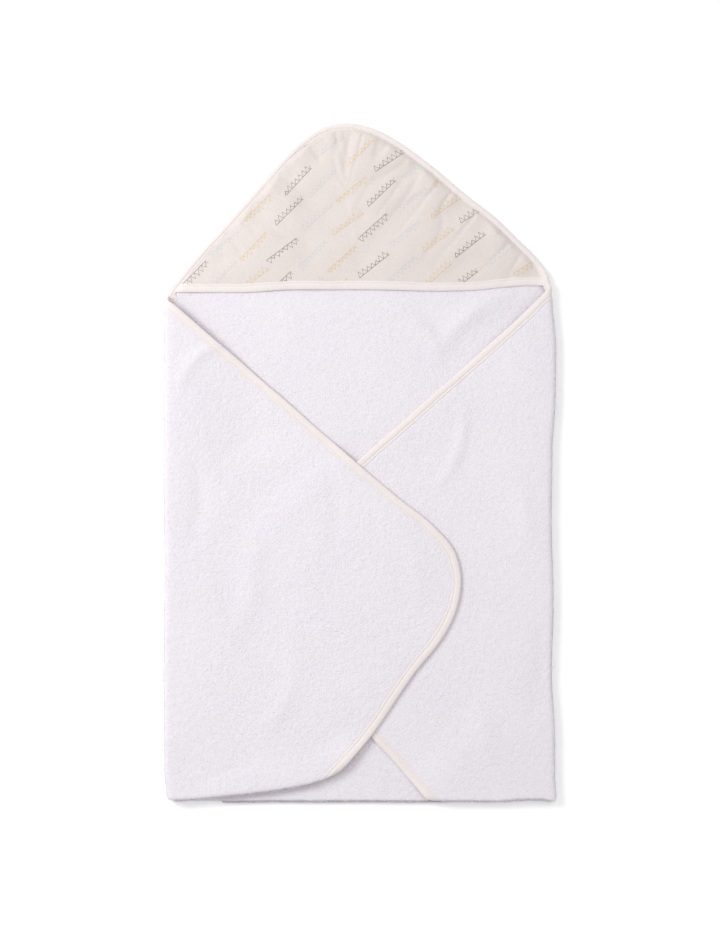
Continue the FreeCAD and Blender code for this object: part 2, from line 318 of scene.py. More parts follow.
right_lifts = np.maximum(bottom_cover, right_turnup_cover) + bottom_cover * right_turnup_cover
under_right = BACK_MIDDLE + LAYER * (1 + right_lifts)
right_height = raised(under_right, RIGHT_MIDDLE, from_right, 1.0)
left_lifts = bottom_cover + right_cover + np.maximum(left_turnup_cover, right_turnup_cover * right_cover)
under_left = BACK_MIDDLE + LAYER * (1 + left_lifts)
left_height = raised(under_left, LEFT_MIDDLE, from_left, np.clip(mesh_y - left_crease(mesh_x), 0, None))
puff = 1.0 * MM * bumps(mesh_x, mesh_y, 110 * MM, 3) + 0.6 * MM * bumps(mesh_x, mesh_y, 46 * MM, 4)
left_folds = (
    ridge((-200, 76), (-148, 132), 1.8, 7) - ridge((-186, 20), (-190, -105), 1.2, 8)
    - ridge((-42, 10), (-36, -110), 1.0, 10) + ridge((-120, -60), (-150, -210), 1.3, 13)
    + ridge((-70, -190), (-110, -300), 1.3, 12) + ridge((40, -60), (60, -170), 1.1, 12)
)
right_folds = (
    ridge((112, 72), (78, -34), 1.9, 7) + ridge((150, 20), (176, -110), 1.3, 12)
    - ridge((188, -150), (176, -300), 0.9, 12) + ridge((100, -230), (140, -330), 1.3, 12)
    - ridge((50, 40), (66, -20), 0.7, 8)
)
back_folds = (
    ridge((14, 178), (92, 112), 2.7, 8) + ridge((78, 104), (172, 186), 2.8, 11)
    + ridge((-120, 178), (-60, 130), 1.0, 12) + ridge((20, 60), (0, 20), 0.5, 8)
)
left_relief = Relief(left_height + 1.0 * MM + puff + left_folds)
right_relief = Relief(right_height + 0.4 * MM + 0.6 * puff + right_folds)
back_relief = Relief(BACK_MIDDLE + back_folds * (1 - right_cover) * (1 - covered(left_edge)))


def plain(height):
    return lambda x, y: np.full_like(x, height)


FOLD_REACH = 3.2 * MM       # how far the flaps' bottom folds bulge past their creases
BACK_REACH = 1.5 * MM
HALF_TURN = math.pi / 2


def laid(relief, crease, reach, middle, side=None):
    """The map from flat cloth to the cloth as it lies.

    Past the crease the cloth bends to upright, down or up to the height middle,
    where the next piece takes over.  side is the fold that it rolls round, as
    (x, 1 or -1 towards the cloth, radius), with its axis at the given height.
    """
    def place(x, y):
        fold, toward, radius, axis = side or (0, 0, 1, 0)
        flat_x = np.where((x - fold) * toward < 0, fold, x)
        line = crease(flat_x)
        bend = np.clip((line - y) / reach, 0, HALF_TURN)
        flat_y = np.where(bend > 0, line - reach * boxy(np.sin(bend)), y)
        height = middle + (relief(flat_x, np.maximum(y, line)) - middle) * boxy(np.cos(bend))
        flat_x = flat_x + drift(flat_x, flat_y)
        if not toward:
            return np.column_stack([flat_x, flat_y, height])
        angle = np.clip((fold - x) * toward, 0, None) / radius
        under = middle + (BACK_MIDDLE - middle) * boxy(np.cos(bend))
        above_axis = height - axis
        swing = above_axis + (axis - under - above_axis) * smooth(angle / math.pi)
        swing = np.where(angle > 0, swing, above_axis)
        return np.column_stack([
            flat_x - toward * np.maximum(swing, 0.3 * radius) * boxy(np.sin(angle)), flat_y,
            axis + swing * boxy(np.cos(angle)),
        ])
    return place


LEFT_CENTRE = (LEFT_MIDDLE + TURNUP_MIDDLE) / 2
RIGHT_CENTRE = (RIGHT_MIDDLE + TURNUP_MIDDLE) / 2
BACK_CENTRE = (BACK_MIDDLE + BOTTOM_MIDDLE) / 2
left_side = (LEFT_FOLD, 1, LEFT_ROLL, (LEFT_MIDDLE + BACK_MIDDLE) / 2)
right_side = (RIGHT_FOLD, -1, RIGHT_ROLL, (RIGHT_MIDDLE + BACK_MIDDLE) / 2)
lay_back = laid(back_relief, back_crease, BACK_REACH, BACK_CENTRE)
lay_bottom = laid(plain(BOTTOM_MIDDLE), back_crease, BACK_REACH, BACK_CENTRE)
lay_left = laid(left_relief, left_crease, FOLD_REACH, LEFT_CENTRE, left_side)
lay_right = laid(right_relief, right_crease, FOLD_REACH, RIGHT_CENTRE, right_side)
lay_left_turnup = laid(plain(TURNUP_MIDDLE), left_crease, FOLD_REACH, LEFT_CENTRE)
lay_right_turnup = laid(plain(TURNUP_MIDDLE), right_crease, FOLD_REACH, RIGHT_CENTRE)


def normals_of(lay, x, y):
    """Unit normals of the laid cloth, on the side that faces up when it is flat."""
    step = 0.3 * MM
    across = lay(x + step, y) - lay(x - step, y)
    along = lay(x, y + step) - lay(x, y - step)
    normal = np.cross(across, along)
    size = np.linalg.norm(normal, axis=1)[:, None]
    return normal / np.maximum(size, 1e-12)


# ------------------------------------------------------------------- meshes

def new_object(name, vertices, faces):
    """A smooth mesh object, pressed flat where it would sink into the table."""
    vertices = np.array(vertices, float)
    vertices[:, 2] = np.maximum(vertices[:, 2], 0.0)
    mesh = bpy.data.meshes.new(name)
    mesh.from_pydata([tuple(v) for v in vertices], [], [tuple(f) for f in faces])
    mesh.update()
    mesh.shade_smooth()
    piece = bpy.data.objects.new(name, mesh)
    bpy.context.scene.collection.objects.link(piece)
    return piece


def clear_of(fixed, points, distance):
    """Which points lie farther than the distance from every fixed one."""
    tree = KDTree(len(fixed))
    for index, (x, y) in enumerate(fixed):
        tree.insert((x, y, 0), index)
    tree.balance()
    return np.array([tree.find((x, y, 0))[2] > distance for x, y in points])


def triangles(outline, rows, step, seed):
    """Even triangles that fill a flat outline, with extra points in rows where it bends."""
    low, high = outline.min(axis=0), outline.max(axis=0)
    points = []
    for k, y in enumerate(np.arange(low[1], high[1], step * math.sqrt(3) / 2)):
        x = np.arange(low[0] + (k % 2) * step / 2, high[0], step)
        points.append(np.column_stack([x, np.full_like(x, y)]))
    points = np.vstack(points)
    points += 0.18 * step * np.column_stack([
        scatter(points[:, 0] / step, points[:, 1] / step, seed),
        scatter(points[:, 0] / step, points[:, 1] / step, seed + 1),
    ])
    fixed = outline
    if len(rows):
        fixed = np.vstack([outline, rows[clear_of(outline, rows, 0.4 * MM)]])
    points = np.vstack([fixed, points[clear_of(fixed, points, 0.6 * step)]])
    loop = list(range(len(outline)))
    result = delaunay_2d_cdt([Vector(p) for p in points], [], [loop], 1, 1e-7)
    vertices = np.array([tuple(v) for v in result[0]])
    faces = np.array([list(f) for f in result[2] if len(f) == 3])
    used = np.unique(faces)
    order = np.full(len(vertices), -1)
    order[used] = np.arange(len(used))
    return vertices[used], order[faces]


def cloth(name, outline, lay, thickness, relief, steps, seed, rows=()):
    """A closed sheet of cloth on a laid surface.

    thickness gives half the cloth's thickness, and relief the height of the
    pile, at each flat point.  steps are the mesh sizes above and underneath, and
    rows are extra points where the cloth bends.
    """
    if twice_area(outline) > 0:
        outline = outline[::-1]
    sides = []
    for step, up, pile_seed in ((steps[0], 1, seed), (steps[1], -1, seed + 50)):
        flat, faces = triangles(outline, rows, step, pile_seed)
        x, y = flat[:, 0], flat[:, 1]
        raise_by = thickness(x, y) + relief(x, y, pile_seed, up)
        sides.append((lay(x, y) + up * normals_of(lay, x, y) * raise_by[:, None], faces))
    (top, top_faces), (under, under_faces) = sides
    count, around = len(top), len(outline)
    a = np.arange(around)
    b = np.roll(a, -1)
    walls = np.vstack([np.column_stack([b, a, a + count]), np.column_stack([b, a + count, b + count])])
    faces = np.vstack([top_faces, under_faces[:, ::-1] + count, walls])
    return new_object(name, np.vstack([top, under]), faces)


def run_between(start, end, spacing=2.0 * MM):
    """Points from start up to but without end."""
    start, end = np.array(start), np.array(end)
    count = max(2, int(np.linalg.norm(end - start) / spacing))
    return start + (end - start) * np.linspace(0, 1, count, endpoint=False)[:, None]


def crease_run(crease, turn, start_x, end_x):
    """The crease's line from one x to another, with the half bend below it."""
    count = max(2, int(abs(end_x - start_x) / (2.0 * MM)))
    x = np.linspace(start_x, end_x, count, endpoint=False)
    return np.column_stack([x, crease(x) - abs(turn) * math.pi / 2])


def bend_rows(crease, reach, outline):
    """Rows of flat points across a bottom fold, where the sheet has cloth."""
    gap = reach * HALF_TURN / 4
    low, high = outline[:, 0].min(), outline[:, 0].max()
    rows = []
    for k in range(4):
        x = np.arange(low + 1 * MM, high - 1 * MM, 1.8 * gap) + (k % 2) * 0.9 * gap
        rows.append(np.column_stack([x, crease(x) - k * gap]))
    points = np.vstack(rows)
    return points[[contains(outline, point) for point in points]]


def contains(outline, point):
    """Whether a flat point lies inside the outline."""
    x, y = outline[:, 0], outline[:, 1]
    next_x, next_y = np.roll(x, -1), np.roll(y, -1)
    spans = (y > point[1]) != (next_y > point[1])
    slope = (next_x - x) / np.where(next_y == y, 1e-12, next_y - y)
    crossings = spans & (point[0] < x + (point[1] - y) * slope)
    return crossings.sum() % 2 == 1


HIDDEN = 2.0 * MM           # how far the cloth's cut edge sits inside the binding's nose
TUCK = 8.0 * MM             # how far a binding runs on past the foot of its fold


def foot(crease, reach):
    """The flat line where a sheet's bottom fold is upright and the next sheet begins."""
    return lambda x: crease(x) - reach * HALF_TURN


def above(crease, reach, beyond=0.0):
    return lambda p: p[:, 1] > foot(crease, reach)(p[:, 0]) - beyond


def flap_outline(edge, crease, seam_x):
    """Flat outline of a side flap, from its seam round its edge to its crease."""
    line = edge.moved(HIDDEN)
    line = line[above(crease, FOLD_REACH)(line)]
    line = line[(line[:, 0] - seam_x) * np.sign(line[-1, 0] - seam_x) >= 0]
    base = crease_run(crease, FOLD_REACH, line[-1, 0], seam_x)
    side = run_between((seam_x, base[-1, 1]), (seam_x, line[0, 1]))
    return np.vstack([line, base[1:], side])


def turnup_outline(edge, crease, fold_x):
    line = edge.moved(HIDDEN)
    line = line[above(crease, FOLD_REACH)(line)]
    line = line[(line[:, 0] - fold_x) * np.sign(line[0, 0] - fold_x) >= 0]
    corner = (fold_x, foot(crease, FOLD_REACH)(np.array([fold_x]))[0])
    base = crease_run(crease, FOLD_REACH, fold_x, line[0, 0])
    return np.vstack([line, run_between((fold_x, line[-1, 1]), corner), base[:-1]])


def between_folds(p):
    """Which points lie between the two side folds."""
    return (p[:, 0] > LEFT_FOLD) & (p[:, 0] < RIGHT_FOLD)


def panel_outline(line):
    """Outline of a sheet as wide as the folded towel, from its edge to the back's fold."""
    line = line[between_folds(line)]
    base = crease_run(back_crease, BACK_REACH, RIGHT_FOLD, LEFT_FOLD)
    return np.vstack([
        line, run_between((RIGHT_FOLD, line[-1, 1]), (RIGHT_FOLD, base[0, 1])), base,
        run_between((LEFT_FOLD, base[0, 1]), (LEFT_FOLD, line[0, 1])),
    ])


def pile(edge, width=TAPE, beneath=1.0):
    """Height of the terry's loops, which the binding presses flat along its edge."""
    def height(x, y, seed, up):
        loops = 0.5 * bumps(x, y, 3.0 * MM, seed) + 0.6 * scatter(x * 7300, y * 5100, seed + 3)
        loops += 0.2 * bumps(x, y, 8 * MM, seed + 2)
        strength = PILE if up > 0 else PILE * beneath
        return strength * loops * smooth((edge.inset(x, y) - width + 2 * MM) / (5 * MM))
    return height


def plump(edge, width=TAPE):
    """Half the terry's thickness: pressed flat inside the binding, full beside it."""
    def half(x, y):
        inside = edge.inset(x, y)
        return 0.55 * MM + (CLOTH / 2 - 0.55 * MM) * smooth((inside - width + 3 * MM) / (5 * MM))
    return half


def strip(name, edge, lay, section, keep, seed):
    """A tape folded over an edge, with an open U of cloth as its section.

    section holds the inset and the height of each point of the U, from the middle
    of the cloth, and how far it puckers.  keep chooses the stretch of the edge.
    """
    chosen = keep(edge.points)
    base, inward, s = edge.points[chosen], edge.inward[chosen], edge.s[chosen]
    width = 1 + 0.035 * bumps(s, 0 * s, 17 * MM, seed) + 0.02 * bumps(s, 0 * s, 6 * MM, seed + 1)
    pucker = bumps(s, 0 * s, 4.5 * MM, seed + 2) + 0.6 * bumps(s, 0 * s, 9 * MM, seed + 3)
    rings = []
    for inset, height, loose in section:
        flat = base + inward * (inset * width)[:, None]
        centre = lay(flat[:, 0], flat[:, 1])
        normal = normals_of(lay, flat[:, 0], flat[:, 1])
        rings.append(centre + normal * (height + np.sign(height) * loose * pucker)[:, None])
    rows, columns = len(rings), len(base)
    vertices = np.stack(rings, axis=1).reshape(-1, 3)
    faces = []
    for i in range(columns - 1):
        for k in range(rows):
            a, b = i * rows + k, i * rows + (k + 1) % rows
            faces.append((a, b, b + rows, a + rows))
    faces.append(tuple(range(rows))[::-1])
    faces.append(tuple((columns - 1) * rows + k for k in range(rows)))
    piece = new_object(name, vertices, faces)
    make_outward(piece)
    return piece


def make_outward(piece):
    """Joins points that fell together and turns every face of a closed mesh outwards."""
    work = bmesh.new()
    work.from_mesh(piece.data)
    bmesh.ops.remove_doubles(work, verts=work.verts, dist=0.01 * MM)
    bmesh.ops.recalc_face_normals(work, faces=work.faces)
    work.to_mesh(piece.data)
    work.free()


def stitches(name, edge, lay, inset, high, keep):
    """Short stitches of thread along a seam, in a row on each face of the binding."""
    pitch, length, girth = 2.9 * MM, 2.2 * MM, 0.2 * MM
    starts = np.arange(0, edge.length - pitch, pitch)
    starts = starts[keep(edge.at(starts + length / 2, edge.points))]
    sides = 6
    # Place along the stitch in parts of its length, and its size and rise there in parts of its girth.
    profile = ((0.0, 0.3, -0.6), (0.2, 1.0, 0.3), (0.8, 1.0, 0.3), (1.0, 0.3, -0.6))
    vertices, faces = [], []
    for height in (high, -high):
        rings = []
        for part, size, rise in profile:
            s = starts + part * length
            base, inward = edge.at(s, edge.points), edge.at(s, edge.inward)
            for turn in np.arange(sides) * 2 * math.pi / sides:
                across = base + inward * (inset + girth * size * math.cos(turn))
                up = height + math.copysign(girth, height) * (rise + size * math.sin(turn))
                x, y = across.T
                rings.append(lay(x, y) + normals_of(lay, x, y) * up)
        block = np.stack(rings, axis=1)
        first = sum(len(v) for v in vertices)
        vertices.append(block.reshape(-1, 3))
        for n in range(len(starts)):
            corner = first + n * len(rings)
            for ring in range(len(profile) - 1):
                for k in range(sides):
                    a, b = corner + ring * sides + k, corner + ring * sides + (k + 1) % sides
                    faces.append((a, b, b + sides, a + sides))
            faces.append(tuple(corner + k for k in range(sides))[::-1])
            faces.append(tuple(corner + (len(profile) - 1) * sides + k for k in range(sides)))
    piece = new_object(name, np.vstack(vertices), faces)
    make_outward(piece)
    return piece


def loops(name, lay, x, y, reach, seed, up=1):
    """Loops of the pile that stand out along a fold, one at each flat point."""
    count = len(x)
    order = np.arange(count)
    chance = [scatter(order, 0.7 * order, seed + k) for k in range(3)]
    normal = up * normals_of(lay, x, y)
    root = lay(x, y) + normal * CLOTH / 2
    aside = np.cross(normal, np.array([0.3, 0.8, 0.52]))
    aside /= np.linalg.norm(aside, axis=1)[:, None]
    ahead = np.cross(normal, aside)
    turn = (chance[0] * math.pi)[:, None]
    along = aside * np.cos(turn) + ahead * np.sin(turn)
    across = np.cross(normal, along)
    wide = (0.7 + 0.2 * chance[1])[:, None] * MM
    tall = (reach * (1 + 0.4 * chance[2]))[:, None]
    arches, sides = 5, 3
    size = arches * sides
    rings = []
    for part in np.linspace(0, math.pi, arches):
        outward = -along * math.cos(part) + normal * math.sin(part)
        middle = root - along * wide * math.cos(part) + normal * (tall * math.sin(part) - 0.35 * MM)
        for k in range(sides):
            spin = k * 2 * math.pi / sides
            rings.append(middle + 0.17 * MM * (outward * math.cos(spin) + across * math.sin(spin)))
    block = np.stack(rings, axis=1)
    faces = []
    for first in range(0, count * size, size):
        for ring in range(arches - 1):
            for k in range(sides):
                a, b = first + sides * ring + k, first + sides * ring + (k + 1) % sides
                faces.append((a, b, b + sides, a + sides))
        last = first + size - sides
        faces.append((first, first + 2, first + 1))
        faces.append((last, last + 1, last + 2))
    piece = new_object(name, block.reshape(-1, 3), faces)
    make_outward(piece)
    return piece


def sprinkle(start, end, spread, rows, pitch, seed):
    """Flat points scattered in rows beside the line from start to end."""
    start, end = np.array(start), np.array(end)
    count = int(np.linalg.norm(end - start) / pitch) * rows
    order = np.arange(count)
    along = (order + 0.5) / count
    aside = 0.5 + 0.5 * scatter(order, 3.3 * order, seed)
    return (start + (end - start) * along[:, None] + np.array(spread) * aside[:, None]).T


# ---------------------------------------------------------------- materials

class Nodes:
    """A material's nodes, made and joined with short calls."""

    def __init__(self, name, **shader):
        self.material = bpy.data.materials.new(name)
        self.material.use_nodes = True
        self.tree = self.material.node_tree
        self.shader = self.tree.nodes["Principled BSDF"]
        for socket, value in shader.items():
            self.shader.inputs[socket.replace("_", " ")].default_value = value

    def add(self, kind, inputs=(), **settings):
        node = self.tree.nodes.new(kind)
        for key, value in settings.items():
            setattr(node, key, value)
        for key, value in dict(inputs).items():
            if isinstance(value, bpy.types.NodeSocket):
                self.tree.links.new(value, node.inputs[key])
            else:
                node.inputs[key].default_value = value
        return node

    def math(self, operation, *values):
        return self.add("ShaderNodeMath", dict(enumerate(values)), operation=operation).outputs[0]

    def place(self):
        return self.add("ShaderNodeTexCoord").outputs["Object"]

    def noise(self, size, detail=2.0, vector=None):
        inputs = {"Vector": vector or self.place(), "Scale": 1 / size, "Detail": detail}
        return self.add("ShaderNodeTexNoise", inputs).outputs["Fac"]

    def mix(self, factor, first, second):
        node = self.add("ShaderNodeMix", data_type="RGBA")
        for index, value in ((0, factor), (6, first), (7, second)):
            if isinstance(value, bpy.types.NodeSocket):
                self.tree.links.new(value, node.inputs[index])
            else:
                node.inputs[index].default_value = value
        return node.outputs[2]

    def span(self, value, low, high):
        return self.add("ShaderNodeMapRange", {0: value, 1: low, 2: high}).outputs[0]

    def link(self, socket, name):
        self.tree.links.new(socket, self.shader.inputs[name])

    def bump(self, height, distance, strength):
        inputs = {"Height": height, "Distance": distance, "Strength": strength}
        self.link(self.add("ShaderNodeBump", inputs).outputs[0], "Normal")


# Painted shade: the terry's colour is darkened between its loops, where shade falls in the pile.
TERRY_HOLLOW_SHADE = (0.716, 0.664, 0.715, 1)       # between the loops
TERRY_CROWN = (0.84, 0.796, 0.861, 1)       # on top of them
TERRY_PATCH = (0.824, 0.781, 0.827, 1)      # faint large patches


def terry_material():
    """Terry: crowded loops of yarn that lie combed one way or the other in small patches."""
    nodes = Nodes("terry_pile", Roughness=0.95, Sheen_Weight=0.12, Sheen_Roughness=0.6)
    calc = nodes.math
    place = nodes.place()
    noise = {"Vector": place, "Scale": 1 / (3 * MM), "Detail": 1.0}
    warp = nodes.add("ShaderNodeTexNoise", noise).outputs["Color"]
    bent = nodes.add("ShaderNodeVectorMath", {0: warp, "Scale": 1.5 * MM}, operation="SCALE").outputs[0]
    bent = nodes.add("ShaderNodeVectorMath", {0: place, 1: bent}, operation="ADD").outputs[0]
    rings = nodes.add("ShaderNodeTexVoronoi", {"Vector": bent, "Scale": 1 / (1.5 * MM)}).outputs["Distance"]
    fibre = nodes.noise(0.6 * MM, 2.0)
    combed = []
    for stretch in ((1.0, 3.4, 1.0), (3.4, 1.0, 1.0)):
        brushed = nodes.add("ShaderNodeMapping", {"Vector": bent, "Scale": stretch}).outputs[0]
        combed.append(nodes.noise(4.2 * MM, 1.0, brushed))
    turn = nodes.span(nodes.noise(13 * MM, 1.0), 0.44, 0.56)
    other_way = calc("SUBTRACT", combed[1], combed[0])
    lie = calc("ADD", combed[0], calc("MULTIPLY", other_way, turn))
    crown = calc("SUBTRACT", 1.0, rings)
    height = calc("ADD", calc("MULTIPLY", crown, 0.55), calc("MULTIPLY", fibre, 0.3))
    height = calc("ADD", height, calc("MULTIPLY", lie, 0.6))
    nodes.bump(height, 0.9 * MM, 0.7)
    # Painted shade: the colour follows the bump's height, so it is darker where the loops lie low.
    colour = nodes.mix(nodes.span(height, 0.45, 1.0), TERRY_HOLLOW_SHADE, TERRY_CROWN)
    patches = nodes.span(nodes.noise(70 * MM, 2.0), 0.3, 0.7)
    nodes.link(nodes.mix(calc("MULTIPLY", patches, 0.35), colour, TERRY_PATCH), "Base Color")
    return nodes.material


def woven_material(name, colour, shade, thread, depth, roughness):
    """Plain woven cloth: two fine crossing sets of threads."""
    nodes = Nodes(name, Roughness=roughness, Sheen_Weight=0.1, Sheen_Roughness=0.5)
    place = nodes.place()
    weave = None
    for direction in ("X", "Y"):
        inputs = {"Vector": place, "Scale": 1 / (thread * 2 * math.pi) * 2, "Distortion": 0.6, "Detail": 1.0}
        wave = nodes.add("ShaderNodeTexWave", inputs, bands_direction=direction).outputs["Fac"]
        weave = wave if weave is None else nodes.math("MULTIPLY", weave, wave)
    slub = nodes.noise(2.5 * MM, 3.0)
    nodes.bump(nodes.math("ADD", weave, slub), depth, 0.5)
    fabric = nodes.mix(nodes.span(slub, 0.3, 0.75), shade, colour)
    nodes.link(fabric, "Base Color")
    return nodes, fabric


INK_TAUPE = (0.20, 0.175, 0.165, 1)
INK_MUSTARD = (0.66, 0.49, 0.24, 1)
INK_BLUE = (0.55, 0.59, 0.62, 1)
STRIP_PITCH = 50.0          # millimetres from one printed strip to the next along a row
ROW_PITCH = 25.0            # and from row to row
STRIP_HALF = 20.5           # half a strip's length
TOOTH = 5.6                 # one tooth of its zigzag


def print_material():
    """Fine muslin, printed with scattered strips of uneven zigzag in three soft colours."""
    nodes, fabric = woven_material(
        "muslin_print", (0.748, 0.68, 0.652, 1), (0.7, 0.63, 0.602, 1), 0.55 * MM, 0.15 * MM, 0.85,
    )
    calc = nodes.math
    split = nodes.add("ShaderNodeSeparateXYZ", {0: nodes.place()})
    x, y = (calc("MULTIPLY", split.outputs[k], 1 / MM) for k in (0, 1))
    lean = math.radians(40)
    curl = 0.00031          # the rows turn a little from side to side of the hood

    def blend(a, first, b, second):
        return calc("ADD", calc("MULTIPLY", a, first), calc("MULTIPLY", b, second))

    def luck(*seeds):
        cell = nodes.add("ShaderNodeCombineXYZ", dict(enumerate(seeds))).outputs[0]
        return nodes.add("ShaderNodeTexWhiteNoise", {0: cell}, noise_dimensions="3D")

    def centred(value, width):
        return calc("MULTIPLY", calc("SUBTRACT", value, 0.5), width)

    along = blend(x, math.cos(lean) / STRIP_PITCH, y, math.sin(lean) / STRIP_PITCH)
    across = blend(x, -math.sin(lean) / ROW_PITCH, y, math.cos(lean) / ROW_PITCH)
    across = blend(across, 1.0, calc("MULTIPLY", x, x), curl / ROW_PITCH)
    across = calc("ADD", across, 40.17)
    row = calc("FLOOR", across)
    shifted = calc("ADD", calc("ADD", along, 40.2), calc("MULTIPLY", row, 0.42))
    column = calc("FLOOR", shifted)
    chance = luck(column, row, 3.5)
    parts = nodes.add("ShaderNodeSeparateColor", {0: chance.outputs["Color"]}).outputs
    thirds = calc("ADD", column, calc("MULTIPLY", row, 2.0))
    kind = calc("FRACT", calc("DIVIDE", calc("ADD", thirds, 0.5), 3.0))
    # Place within the cell, in millimetres, with a small turn and shift of its own.
    u = centred(calc("FRACT", shifted), STRIP_PITCH)
    v = centred(calc("FRACT", across), ROW_PITCH)
    u = calc("ADD", u, centred(parts[0], 8.0))
    v = calc("ADD", v, centred(parts[1], 7.0))
    v = calc("ADD", v, calc("MULTIPLY", u, centred(parts[2], 0.22)))
    flipped = calc("GREATER_THAN", parts[0], 0.62)
    v = calc("MULTIPLY", v, calc("SUBTRACT", calc("MULTIPLY", flipped, -2.0), -1.0))

    within = calc("LESS_THAN", calc("ABSOLUTE", u), STRIP_HALF)
    base = calc("LESS_THAN", calc("ABSOLUTE", calc("ADD", v, 2.6)), 0.42)
    step = calc("DIVIDE", calc("ADD", u, STRIP_HALF), TOOTH)
    tooth_luck = luck(calc("FLOOR", step), calc("ADD", column, 0.3), row).outputs["Value"]
    rise = calc("ADD", 3.2, calc("MULTIPLY", tooth_luck, 3.4))
    tooth = calc("PINGPONG", calc("MULTIPLY", step, 2.0), 1.0)
    crest = calc("SUBTRACT", calc("MULTIPLY", tooth, rise), 2.3)
    zigzag = calc("LESS_THAN", calc("ABSOLUTE", calc("SUBTRACT", v, crest)), 0.72)
    inked = calc("MULTIPLY", calc("MAXIMUM", base, zigzag), within)
    wear = nodes.span(nodes.noise(0.9 * MM, 2.0), 0.2, 0.5)
    inked = calc("MULTIPLY", calc("MULTIPLY", inked, wear), 0.8)
    warm = nodes.mix(calc("GREATER_THAN", kind, 0.36), INK_MUSTARD, INK_TAUPE)
    ink = nodes.mix(calc("GREATER_THAN", kind, 0.68), warm, INK_BLUE)
    nodes.link(nodes.mix(inked, fabric, ink), "Base Color")
    return nodes.material


def thread_material():
    nodes = Nodes("thread", Roughness=0.6)
    twist = nodes.noise(0.4 * MM, 1.0)
    nodes.link(nodes.mix(twist, (0.80, 0.72, 0.68, 1), (0.90, 0.83, 0.80, 1)), "Base Color")
    nodes.bump(twist, 0.1 * MM, 0.4)
    return nodes.material


TERRY = terry_material()
PRINT = print_material()
PLAIN = woven_material(
    "muslin_plain", (0.79, 0.73, 0.71, 1), (0.74, 0.68, 0.66, 1), 0.55 * MM, 0.15 * MM, 0.85)[0].material
BINDING = woven_material(
    "binding_tape", (0.825, 0.765, 0.75, 1), (0.785, 0.72, 0.705, 1), 0.35 * MM, 0.08 * MM, 0.6)[0].material
THREAD = thread_material()


# ------------------------------------------------------------------- pieces

LEAN = math.radians(10)     # slant of the line that rolling gives across a side fold
SPARE = 2.2 * MM            # how far that line begins below the fold and ends above it


def rolling(fold, toward, full):
    """A body and the two ends of a slanted line across a side fold, given as a flap's bend; settle only
    checks that it is given.
    """
    slant = Vector((toward * math.sin(LEAN), 0, math.cos(LEAN)))
    root = Vector((fold, 0, 0))
    return "back", root - slant * SPARE, root + slant * (full + SPARE)


def settle(piece, material, replaced, body, bend=None):
    """Finishes a piece: its material, hides the nodes it stands for, and parents it to its body; a piece
    given a bend is only fixed in place, with no parent.
    """
    piece.data.materials.append(material)
    if replaced:
        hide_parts(*replaced)
    if bend is None:
        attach(piece, body)
    else:
        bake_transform(piece)


def tape_section(crown, width=TAPE):
    """The U of a binding: its outer face, with a groove at the seam, then its inner face."""
    top = [
        (1.0, 0.58, 0.05), (0.95, 0.84, 0.06), (SEAM + 0.09, 0.88, 0.06), (SEAM + 0.03, 0.62, 0.02),
        (SEAM - 0.03, 0.62, 0.02), (SEAM - 0.1, 0.92, 0.08), (0.5, 1.0, 0.09), (0.27, 0.94, 0.07),
        (0.1, 0.74, 0.04), (0.015, 0.35, 0.02),
    ]
    face = [(inset * width, height * crown, loose * MM) for inset, height, loose in top]
    outer = face + [(inset, -height, loose) for inset, height, loose in reversed(face)]
    nose, hollow = 1.8 * MM, 0.4 * crown
    return outer + [(width, -hollow, 0), (nose, -hollow, 0), (nose, hollow, 0), (width, hollow, 0)]


CROWN = 1.75 * MM           # half the thickness of the binding where it is fullest
STITCH_HEIGHT = 0.64        # how high its stitches lie, in parts of that


def build_panel(name, outline, edge, lay, fold, nodes, keep, steps, seed, bend, fringe=()):
    """A piece of terry with its binding, its seam and the loops along its folds.

    The piece takes its body's name.  fold is its bottom crease and reach, and
    nodes are the CAD nodes that the terry stands for: its panel, then its rolls.
    """
    panel, rows = nodes[0], bend_rows(*fold, outline)
    sheet = cloth(name + "_terry", outline, lay, plump(edge), pile(edge), steps, seed, rows)
    tape = strip(name + "_tape", edge, lay, tape_section(CROWN), keep, seed)
    seam = stitches(name + "_seam", edge, lay, SEAM * TAPE, STITCH_HEIGHT * CROWN, keep)
    settle(sheet, TERRY, nodes, name, bend)
    settle(tape, BINDING, [panel + "_binding"], name, bend)
    settle(seam, THREAD, [panel + "_stitching"], name, bend)
    if fringe:
        x, y, reach = np.hstack(fringe)
        kept = edge.inset(x, y) > TAPE
        pile_loops = loops(name + "_loops", lay, x[kept], y[kept], reach[kept], seed)
        settle(pile_loops, TERRY, [], name, bend)


LOOP_PITCH = 0.85 * MM      # along a fold, from loop to loop in each row
SIDE_LOOP = 0.8 * MM        # how far the loops stand out along the side folds
CREASE_LOOP = 1.8 * MM      # and along the bottom folds


def fold_loops(fold, toward, roll, crease, start_y, end_x, seed):
    """Places for loops down a side fold and along a flap's bottom fold."""
    low = crease(np.array([fold]))[0]
    outer = fold - toward * 0.9 * roll
    x, y = sprinkle((outer, start_y), (outer, low), (-toward * roll * 1.4, 0), 3, LOOP_PITCH, seed)
    side = np.stack([x, y, np.full_like(x, SIDE_LOOP)])
    return side, crease_loops(crease, FOLD_REACH, fold, end_x, seed + 1)


def crease_loops(crease, reach, start_x, end_x, seed, first=0.4):
    """Places for loops along a bottom fold, where it faces outwards."""
    x, drop = sprinkle((start_x, 0), (end_x, 0), (0, 1), 3, LOOP_PITCH, seed)
    y = crease(x) - reach * HALF_TURN * (first + (1 - first) * drop)
    return np.stack([x, y, np.full_like(x, CREASE_LOOP)])


